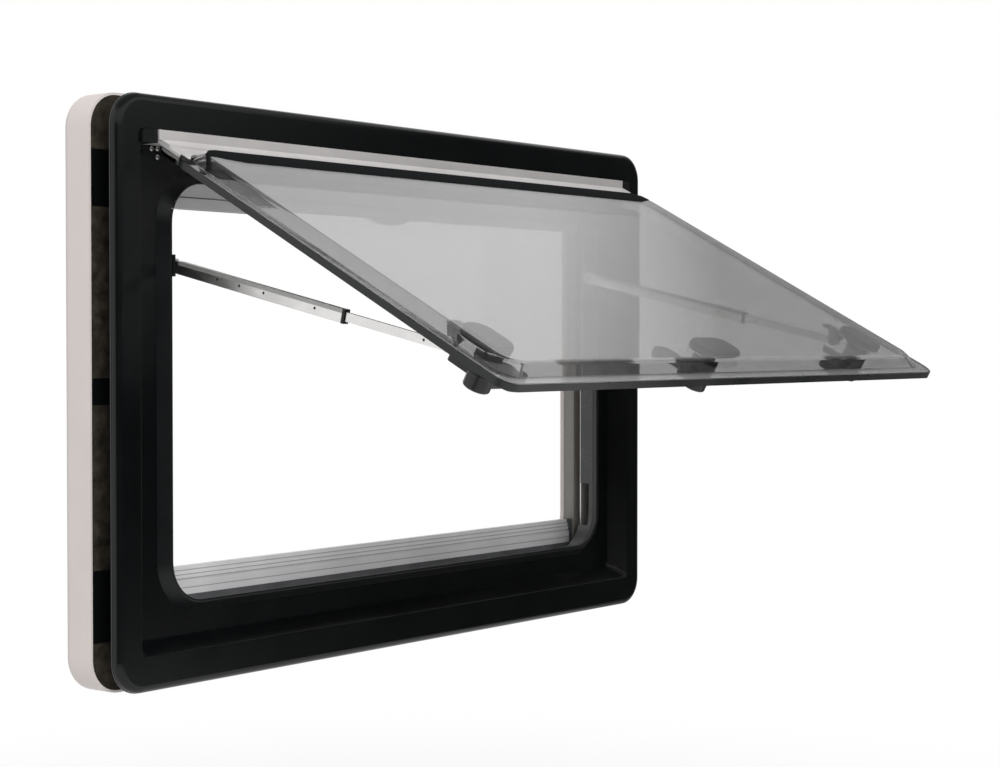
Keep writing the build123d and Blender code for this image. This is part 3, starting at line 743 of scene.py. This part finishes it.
class WINDOW_OT_pane(Operator):
    """Finish the two acrylic sheets and add their bond, gasket and plug"""

    bl_idname = "caravan_window.pane"
    bl_label = "Pane"

    # Bond: past the sheets' edge, in from it, ahead of the inner sheet, inside its back
    BOND = (0.1, 1.9, 3.6, 0.1)
    # Gasket's sections: outward from the dome's end, near and far edge, height, swell
    LEFT_END = (
        (10.5, 26.0, 31.0, 0.6, 0.4), (7.0, 22.5, 28.0, 3.0, 0.5), (3.5, 17.5, 23.0, 5.9, 0.6),
        (0.0, 12.0, 17.5, 7.7, 0.7), (-4.0, 6.0, 12.5, 8.5, 0.9), (-10.0, 1.0, 11.0, 8.5, 1.0),
        (-20.0, -2.0, 14.0, 8.5, 1.0), (-45.0, -2.0, 19.0, 8.5, 1.0),
    )
    RIGHT_END = ((-30.0, -2.0, 20.0, 8.5, 1.0), (-10.0, 2.5, 14.0, 8.5, 0.6), (-3.0, 10.0, 12.0, 8.3, 0.3))
    # Gasket's rise at shares of the way across, and its depth in the surface
    ACROSS = ((0.0, -2.2), (0.04, 0.9), (0.14, 2.1), (0.45, 1.9), (0.86, 1.1), (1.0, 0.2))
    GASKET_SUNK = 0.5
    # Dome's end and top, in from the sheet's edges
    DOME_IN = 22.0
    DOME_DOWN = 7.7
    # Plug: profile, X, and down from the hinge
    PLUG = ((0.0, 0.0), (4.2, 0.0), (4.2, 0.8), (3.36, 1.4), (1.68, 1.5), (0.0, 1.2))
    PLUG_X = 204.8
    PLUG_DOWN = 130.2

    def execute(self, context):
        tones = finishes()
        acrylic = cast_acrylic("tinted_acrylic", tones.acrylic_tint)
        finish_nodes(acrylic, "outer_sheet", "inner_sheet")
        black = moulded("pane_plug_black", tones.rubber_black, 0.3, 0.4, waves=700.0, depth=0.02)
        edge = moulded("pane_bond_grey", tones.bond_grey, 0.3, 0.4, waves=700.0, depth=0.02)
        matt = moulded("gasket_black", tones.rubber_black, 0.85, 0.06, waves=700.0, depth=0.02)
        low, high = closed_box("outer_sheet")
        inner_low, inner_high = closed_box("inner_sheet")
        past, deep, ahead, inside = mm(self.BOND)
        front, back = inner_low.y - ahead, inner_high.y - inside
        section = [(-past, front), (-past, back), (deep, back), (deep, front)]
        bond = ring(low, high, fittings().pane_corner, section)
        make_piece("pane_bond", place(bond, SWUNG), "pane", edge)
        make_piece("pane_gasket", place(self.gasket(high), SWUNG), "pane", matt)
        spot = Vector((self.PLUG_X * MM, inner_high.y, HINGE.z - self.PLUG_DOWN * MM))
        plug = place(turned(scaled(self.PLUG)), SWUNG @ pointing(spot, ROOMWARD))
        make_piece("pane_plug", plug, "pane", black)
        return {"FINISHED"}

    def gasket(self, high):
        """Gasket along the dome's top edge, down its left slope and tapered at the right end."""
        end, top = high.x - self.DOME_IN * MM, high.z - self.DOME_DOWN * MM
        rows = [self.section(-end - out * MM, top, *row) for out, *row in self.LEFT_END]
        rows += [self.section(end + out * MM, top, *row) for out, *row in self.RIGHT_END]
        return swept(rows)

    def section(self, x, top, near, far, height, swell):
        """Outline of the gasket between two distances from the top edge, on a surface at a height."""
        over, under = [], []
        for share, rise in self.ACROSS:
            z = top - (near + (far - near) * share) * MM
            upper = height + rise * swell
            lower = min(upper, height) - self.GASKET_SUNK
            over.append(Vector((x, HINGE.y - upper * MM, z)))
            under.append(Vector((x, HINGE.y - lower * MM, z)))
        return over + under[::-1]


class WINDOW_OT_latches(Operator):
    """Finish the three latches and add the rosettes, hub caps and grip ribs"""

    bl_idname = "caravan_window.latches"
    bl_label = "Latches"

    # Directions from the hubs along the handles
    HANDLES = {"left": (1.0, 0.0, 0.0), "right": (-1.0, 0.0, 0.0), "bottom": (0.0, 0.0, 1.0)}
    # Profile of the ring on the inner sheet
    ROSETTE = (
        (12.05, 0.0), (16.05, 0.0), (16.05, 0.8), (14.45, 1.2), (14.05, 2.2), (12.05, 2.4), (12.05, 0.0),
    )
    # Ridges round the boss: depths of their crests, section, corner radius
    RIDGES = (2.8, 4.2, 5.6)
    RIDGE = ((0.2, -0.5), (-0.35, 0.0), (0.2, 0.5))
    BOSS_CORNER = 14.5
    # Profile of the cap on the hub
    CAP = ((0.0, 0.2), (4.8, 0.2), (4.8, 0.0), (8.0, 0.0), (8.0, 0.5), (7.2, 1.0), (2.8, 1.25), (0.0, 1.2))
    # A grip rib: width, height, depth, bevel
    RIB = (17.0, 1.6, 1.2, 0.35)
    # Ribs: the first from the hub, step to the next, depth of their middles
    RIB_PLACES = (45.0, 4.0, 1.7)

    def execute(self, context):
        tones = finishes()
        base = moulded("latch_base_black", tones.fitting_black, 0.36, 0.45, waves=900.0, depth=0.02)
        lever = moulded("latch_lever_black", tones.fitting_black, 0.30, 0.5, waves=900.0, depth=0.02)
        for name in LATCHES:
            finish_nodes(base, f"latch_base_{name}")
            finish_nodes(lever, f"latch_lever_{name}")
            hub = SWUNG.inverted() @ Vector(JOINTS[f"latch_{name}_turn"]["pos_m"])
            self.add_rosette(name, hub, base)
            self.add_grip(name, hub, lever)
        return {"FINISHED"}

    def add_rosette(self, name, hub, material):
        """Stepped ring where the drum leaves the inner sheet, and ridges round the boss."""
        face = closed_box("inner_sheet")[1].y
        rosette = place(turned(scaled(self.ROSETTE), 40), pointing((hub.x, face, hub.z), ROOMWARD))
        low, high = closed_box(f"latch_base_{name}")
        ridges = []
        for depth in self.RIDGES:
            section = [(inset * MM, low.y + (depth + along) * MM) for inset, along in self.RIDGE]
            ridges.append(ring(low, high, self.BOSS_CORNER * MM, section))
        whole = joined(rosette, *ridges)
        make_piece(f"latch_rosette_{name}", place(whole, SWUNG), "pane", material)

    def add_grip(self, name, hub, material):
        """Cap on the hub and ribs across the end of the handle."""
        back = closed_box(f"latch_lever_{name}")[1].y
        along = Vector(self.HANDLES[name])
        turn = pointing((0.0, 0.0, 0.0), ROOMWARD)
        if along.x:
            turn = Matrix.Rotation(math.pi / 2, 4, "Y") @ turn
        parts = [place(turned(scaled(self.CAP)), pointing((hub.x, back, hub.z), ROOMWARD))]
        first, step, sunk = mm(self.RIB_PLACES)
        for index in range(fittings().rib_count):
            spot = hub + along * (first - step * index)
            middle = Matrix.Translation((spot.x, back - sunk, spot.z))
            parts.append(place(brick(*mm(self.RIB)), middle @ turn))
        whole = place(joined(*parts), SWUNG)
        make_piece(f"latch_grip_{name}", whole, f"latch_{name}", material)


class WINDOW_OT_stays(Operator):
    """Finish the two telescopic stays and add dark discs of painted shade in their holes, a dark sleeve at
    each channel's end as a painted reflection, darker lips of painted shade and rivets
    """

    bl_idname = "caravan_window.stays"
    bl_label = "Stays"

    # Distances down the stay from its pivot
    CHANNEL_HOLES = (61.0, 89.0, 119.5, 181.5)
    CHANNEL_END = 216.0
    ROD_HOLE = 305.0
    HOLE_RIM = 0.9
    HOLE_PROUD = 0.12
    # Bush, a dark sleeve that paints the dark reflection at the channel's end: how much wider, depth, bore's
    # width and depth, height, middle from the end
    END_REFLECTION_SLEEVE = (0.5, 12.6, 4.6, 8.6, 3.0, 1.2)
    # Lip, a darker strip of painted shade over the channel's upper part: past the channel's sides, thickness,
    # foot, top, start, how much shorter
    SHADE_LIP = (0.2, 0.3, 2.5, 6.1, 10.0, 12.0)
    # Profile of a rivet, as shares of its radius and heights
    RIVET = ((0.0, 0.2), (0.76, 0.2), (0.76, 0.0), (1.0, 0.0), (0.95, 0.5), (0.6, 1.0), (0.0, 1.15))

    def execute(self, context):
        tones = finishes()
        channel = drawn_metal("stay_channel_drawn", tones.stay_metal, 0.34, ALONG_STAY)
        rod = drawn_metal("stay_rod_drawn", tones.stay_metal, 0.28, ALONG_STAY)
        # Painted shade: the lip's darker metal stands for the shade on the channel's upper part; the rivets
        # share it
        shade_lip_and_rivet = drawn_metal("stay_lip_drawn", tones.rivet_and_painted_shade_metal, 0.4, ALONG_STAY, metallic=0.4)
        black = moulded("bracket_black", tones.fitting_black, 0.4, 0.4)
        for side in SIDES:
            finish_nodes(channel, f"stay_channel_{side}")
            finish_nodes(rod, f"stay_rod_{side}")
            finish_nodes(black, f"stay_bracket_{side}", f"stay_pivot_{side}")
            self.add_channel_fittings(side, shade_lip_and_rivet, black)
            self.add_rod_hole_shade(side, black)
        return {"FINISHED"}

    def stay_frame(self, side):
        """Matrix whose Z runs down the stay from its pivot, with X across it."""
        pivot = Vector(JOINTS[f"stay_{side}_swing"]["pos_m"])
        down = Vector(JOINTS[f"stay_{side}_slide"]["axis"]).normalized()
        across = Vector((1.0, 0.0, 0.0))
        turn = Matrix((across, down.cross(across), down)).transposed().to_4x4()
        return Matrix.Translation(pivot) @ turn

    def half_width(self, name):
        """Half of a solid's size in X."""
        low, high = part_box(name)
        return (high[0] - low[0]) / 2

    def hole_shade(self, half, reaches):
        """Thin dark discs of painted shade that read as holes, on both sides of a stay."""
        r, proud = fittings().stay_hole / 2, self.HOLE_PROUD * MM
        profile = [(0.0, 0.0), (r, 0.0), (r * self.HOLE_RIM, proud), (0.0, proud)]
        discs = []
        for reach in reaches:
            for way in SIDES.values():
                disc = turned(profile, 20)
                discs.append(place(disc, pointing((way * half, 0.0, reach * MM), (way, 0.0, 0.0))))
        return discs

    def add_channel_fittings(self, side, shade_lip_and_rivet, black):
        """Dark discs of painted shade for the holes, a dark end sleeve as a painted reflection, a darker lip
        of painted shade, and the rivet of a channel.
        """
        at = self.stay_frame(side)
        half = self.half_width(f"stay_channel_{side}")
        body, slot = f"stay_{side}", "stay_channel_aluminium"
        # Painted shade: dark discs stand for the holes, and a dark sleeve paints the dark reflection at the
        # channel's end
        hole_shade = self.hole_shade(half, self.CHANNEL_HOLES)
        end = self.CHANNEL_END * MM
        wider, depth, bore_width, bore_depth, height, back = mm(self.END_REFLECTION_SLEEVE)
        end_reflection_sleeve = sleeve((2 * half + wider, depth), (bore_width, bore_depth), height)
        hole_shade.append(place(end_reflection_sleeve, Matrix.Translation((0.0, 0.0, end - back))))
        make_piece(f"stay_holes_{side}", place(joined(*hole_shade), at), body, black)
        # Painted shade: the lip is a darker strip over the channel's top and upper sides, standing for their
        # shade
        past, thickness, foot, top, start, shorter = mm(self.SHADE_LIP)
        wide = half + past
        inside, under = wide - thickness, top - thickness
        outline = [(-wide, foot), (-wide, top), (wide, top), (wide, foot)]
        outline += [(inside, foot), (inside, under), (-inside, under), (-inside, foot)]
        strip = place(bar(outline, end - shorter, 0.0), at @ Matrix.Translation((0.0, 0.0, start)))
        make_piece(f"stay_lip_{side}", strip, body, shade_lip_and_rivet)
        r = fittings().rivet_head / 2
        rivet = turned([(r * share, height * MM) for share, height in self.RIVET])
        inward = -SIDES[side]
        rivet = place(rivet, at @ pointing((inward * half, 0.0, 0.0), (inward, 0.0, 0.0)))
        make_piece(f"stay_rivet_{side}", rivet, body, shade_lip_and_rivet)

    def add_rod_hole_shade(self, side, black):
        """Dark discs of painted shade for a rod's hole."""
        hole_shade = joined(*self.hole_shade(self.half_width(f"stay_rod_{side}"), (self.ROD_HOLE,)))
        hole_shade = place(hole_shade, self.stay_frame(side))
        make_piece(f"stay_rod_holes_{side}", hole_shade, f"stay_{side}_rod", black)


class WINDOW_OT_stage(Operator):
    """Set up the floor, the soft studio light and the camera"""

    bl_idname = "caravan_window.stage"
    bl_label = "Stage"

    # Share of plain white in the floor near the window
    WHITE_LEAST = 0.8
    # Posts of the dark card round the viewer: X, Y, height, thinness
    FLAG = (
        (2.2, 1.6, 1.05, 0.41), (2.2, -0.5, 2.1, 0.41), (2.2, -1.1, 2.3, 0.0), (2.2, -1.8, 2.3, 0.0),
        (2.2, -2.3, 1.0, 0.0), (2.2, -4.0, 1.0, 0.0), (0.0, -4.0, 1.0, 0.0), (-2.6, -4.0, 1.0, 0.0),
        (-4.0, -2.6, 1.6, 0.0), (-4.2, -0.6, 1.6, 0.0),
    )
    # Card's foot as a share of the way out, its lift, half height of the soft top
    FLAG_FOOT = 0.35
    FLAG_LIFT = 0.02
    FLAG_SOFT = 0.3
    # Card overhead: height, radii of its middle and rim, thinness
    OVERHEAD = (2.0, 1.5, 2.1, 0.35)
    # Lamps: name, place, width, property of the power
    LAMPS = (
        ("key_light", (-1.6, -2.1, 1.4), 1.6, "key_power"),
        ("top_light", (0.2, 0.1, 2.4), 1.8, "top_power"),
        ("fill_light", (1.6, -2.2, 1.0), 1.6, "fill_power"),
    )
    LAMP_TARGET = (0.0, -0.1, 0.25)
    # Camera's place, and its turns right and up in degrees
    CAMERA = (-1.644, -1.358, 0.299)
    CAMERA_YAW = 52.9
    CAMERA_PITCH = -1.25
    SENSOR_MM = 36.0

    def execute(self, context):
        stage = context.scene.window_stage
        floor_level = CAD_BOX[0][2] - stage.floor_drop
        self.add_floor(stage, floor_level)
        self.add_flag(stage, floor_level + self.FLAG_LIFT)
        self.add_overhead(stage)
        self.add_world(context, stage)
        self.add_lamps(stage)
        self.add_camera(context, stage)
        context.scene.view_settings.view_transform = "Standard"
        return {"FINISHED"}

    def stage_piece(self, name, bm, material):
        """Object of the stage."""
        piece = linked(name, finished_mesh(name, bm, material))
        return piece

    def math_node(self, tree, operation, first, second):
        """Result of a math node on two outputs or numbers."""
        return add_node(tree, "Math", {0: first, 1: second}, operation=operation).outputs[0]

    def add_floor(self, stage, level):
        """Paper floor with the window's shadow, which fades to plain white."""
        bm = bmesh.new()
        bmesh.ops.create_grid(bm, x_segments=8, y_segments=8, size=8.0)
        material, tree, shader = new_material("floor_paper")
        fibre = grain(tree, scale=220.0, detail=3.0)
        feed(tree, shader, {
            "Specular IOR Level": 0.0,
            "Base Color": mottle(tree, fibre, stage.floor_colour, change=0.01),
            "Roughness": spread(tree, fibre, low=0.9, high=1.0),
        })
        white = add_node(tree, "Emission", {}).outputs["Emission"]
        share = self.white_share(tree, stage)
        mix = add_node(tree, "MixShader", {"Fac": share, 1: shader.outputs["BSDF"], 2: white})
        feed(tree, tree.nodes["Material Output"], {"Surface": mix.outputs["Shader"]})
        self.stage_piece("studio_floor", bm, material).location.z = level

    def white_share(self, tree, stage):
        """Share of plain white in the floor, all of it far from the window."""
        spot = add_node(tree, "TexCoord", {}).outputs["Object"]
        radius = add_node(tree, "VectorMath", {0: spot}, operation="LENGTH").outputs["Value"]
        limits = {"From Min": stage.floor_near, "From Max": stage.floor_far, "To Min": self.WHITE_LEAST}
        fade = add_node(tree, "MapRange", {"Value": radius, **limits}, interpolation_type="SMOOTHSTEP")
        return self.math_node(tree, "MULTIPLY", fade.outputs["Result"], self.seen_rays(tree))

    def seen_rays(self, tree):
        """One for camera, glossy and transmission rays."""
        rays = add_node(tree, "LightPath", {}).outputs
        mirrored = self.math_node(tree, "MAXIMUM", rays["Is Camera Ray"], rays["Is Glossy Ray"])
        return self.math_node(tree, "MAXIMUM", mirrored, rays["Is Transmission Ray"])

    def add_flag(self, stage, foot):
        """Dark card with a foot and a soft top, right of and behind the viewer."""
        bm = bmesh.new()
        soft = bm.verts.layers.float.new("soft")
        rows = []
        for x, y, level, thin in self.FLAG:
            near = (x * self.FLAG_FOOT, y * self.FLAG_FOOT, foot)
            spots = (near, (x, y, foot), (x, y, level - self.FLAG_SOFT), (x, y, level + self.FLAG_SOFT))
            row = [bm.verts.new(spot) for spot in spots]
            for vertex in row:
                vertex[soft] = thin
            row[-1][soft] = 1.0
            rows.append(row)
        for row, following in zip(rows, rows[1:]):
            for step in range(len(row) - 1):
                bm.faces.new((row[step], following[step], following[step + 1], row[step + 1]))
        self.flag_piece("reflection_flag", bm, stage)

    def add_overhead(self, stage):
        """Dark round card overhead with a soft rim."""
        height, solid, rim, thin = self.OVERHEAD
        bm = turned([(0.0, height), (solid, height), (rim, height)], 48)
        soft = bm.verts.layers.float.new("soft")
        for vertex in bm.verts:
            vertex[soft] = 1.0 if vertex.co.xy.length > (solid + rim) / 2 else thin
        self.flag_piece("overhead_flag", bm, stage)

    def flag_piece(self, name, bm, stage):
        """Card that shows only in reflections and fades with its soft layer."""
        material, tree, shader = new_material(name + "_card")
        cloth = grain(tree, scale=40.0, detail=3.0)
        edge = add_node(tree, "Attribute", {}, attribute_name="soft")
        inputs = {"Value": edge.outputs["Fac"], "To Min": 1.0, "To Max": 0.0}
        fade = add_node(tree, "MapRange", inputs, interpolation_type="SMOOTHSTEP")
        depth = add_node(tree, "LightPath", {}).outputs["Glossy Depth"]
        mirrored = self.math_node(tree, "MINIMUM", depth, 1.0)
        feed(tree, shader, {
            "Base Color": mottle(tree, cloth, stage.flag_grey, change=0.1),
            "Roughness": 1.0,
            "Alpha": self.math_node(tree, "MULTIPLY", mirrored, fade.outputs["Result"]),
        })
        flag = self.stage_piece(name, bm, material)
        flag.visible_camera = False
        flag.visible_diffuse = False
        flag.visible_shadow = False

    def add_world(self, context, stage):
        """White room, dimmer as a light than as it is seen."""
        world = bpy.data.worlds.new("studio")
        world.use_nodes = True
        context.scene.world = world
        tree = world.node_tree
        level = add_node(tree, "MapRange", {"Value": self.seen_rays(tree), "To Min": stage.room_level})
        inputs = {"Color": (1.0, 1.0, 1.0, 1.0), "Strength": level.outputs["Result"]}
        feed(tree, tree.nodes["Background"], inputs)

    def add_lamps(self, stage):
        """Square lamps that stay out of the reflections."""
        for name, position, width, power in self.LAMPS:
            light = bpy.data.lights.new(name, "AREA")
            light.shape = "SQUARE"
            light.size = width
            light.energy = getattr(stage, power)
            lamp = linked(name, light)
            lamp.location = position
            lamp.visible_glossy = False
            aim = Vector(self.LAMP_TARGET) - Vector(position)
            lamp.rotation_euler = aim.to_track_quat("-Z", "Y").to_euler()

    def add_camera(self, context, stage):
        """Camera at the photograph's place."""
        data = bpy.data.cameras.new("camera")
        data.sensor_width = self.SENSOR_MM
        data.lens = stage.lens
        camera = linked("camera", data)
        camera.location = self.CAMERA
        yaw, pitch = math.radians(self.CAMERA_YAW), math.radians(self.CAMERA_PITCH)
        level = math.cos(pitch)
        aim = Vector((math.sin(yaw) * level, math.cos(yaw) * level, math.sin(pitch)))
        camera.rotation_euler = aim.to_track_quat("-Z", "Y").to_euler()
        context.scene.camera = camera


BUILDERS = (
    WINDOW_OT_outer_frame,
    WINDOW_OT_wall_gap,
    WINDOW_OT_hinge,
    WINDOW_OT_inner_frame,
    WINDOW_OT_blinds,
    WINDOW_OT_pane,
    WINDOW_OT_latches,
    WINDOW_OT_stays,
    WINDOW_OT_stage,
)


class WINDOW_PT_builder(Panel):
    """Lists the window's properties and building steps"""

    bl_idname = "WINDOW_PT_builder"
    bl_label = "Caravan window"
    bl_space_type = "VIEW_3D"
    bl_region_type = "UI"
    bl_category = "Window"

    def draw(self, context):
        for group in (getattr(context.scene, name) for name in GROUPS):
            box = self.layout.box()
            for name in group.bl_rna.properties.keys():
                if name not in ("rna_type", "name"):
                    box.prop(group, name)
        for builder in BUILDERS:
            self.layout.operator(builder.bl_idname)


GROUPS = {
    "window_finishes": WindowFinishes,
    "window_fittings": WindowFittings,
    "window_stage": WindowStage,
}


def register():
    for group in GROUPS.values():
        bpy.utils.register_class(group)
    for name, group in GROUPS.items():
        setattr(bpy.types.Scene, name, PointerProperty(type=group))
    for cls in (*BUILDERS, WINDOW_PT_builder):
        bpy.utils.register_class(cls)


def unregister():
    for cls in reversed((*BUILDERS, WINDOW_PT_builder)):
        bpy.utils.unregister_class(cls)
    for name in GROUPS:
        delattr(bpy.types.Scene, name)
    for group in reversed(tuple(GROUPS.values())):
        bpy.utils.unregister_class(group)


def main():
    register()
    bpy.ops.caravan_window.outer_frame()
    bpy.ops.caravan_window.wall_gap()
    bpy.ops.caravan_window.hinge()
    bpy.ops.caravan_window.inner_frame()
    bpy.ops.caravan_window.blinds()
    bpy.ops.caravan_window.pane()
    bpy.ops.caravan_window.latches()
    bpy.ops.caravan_window.stays()
    bpy.ops.caravan_window.stage()


if __name__ == "__main__":
    main()
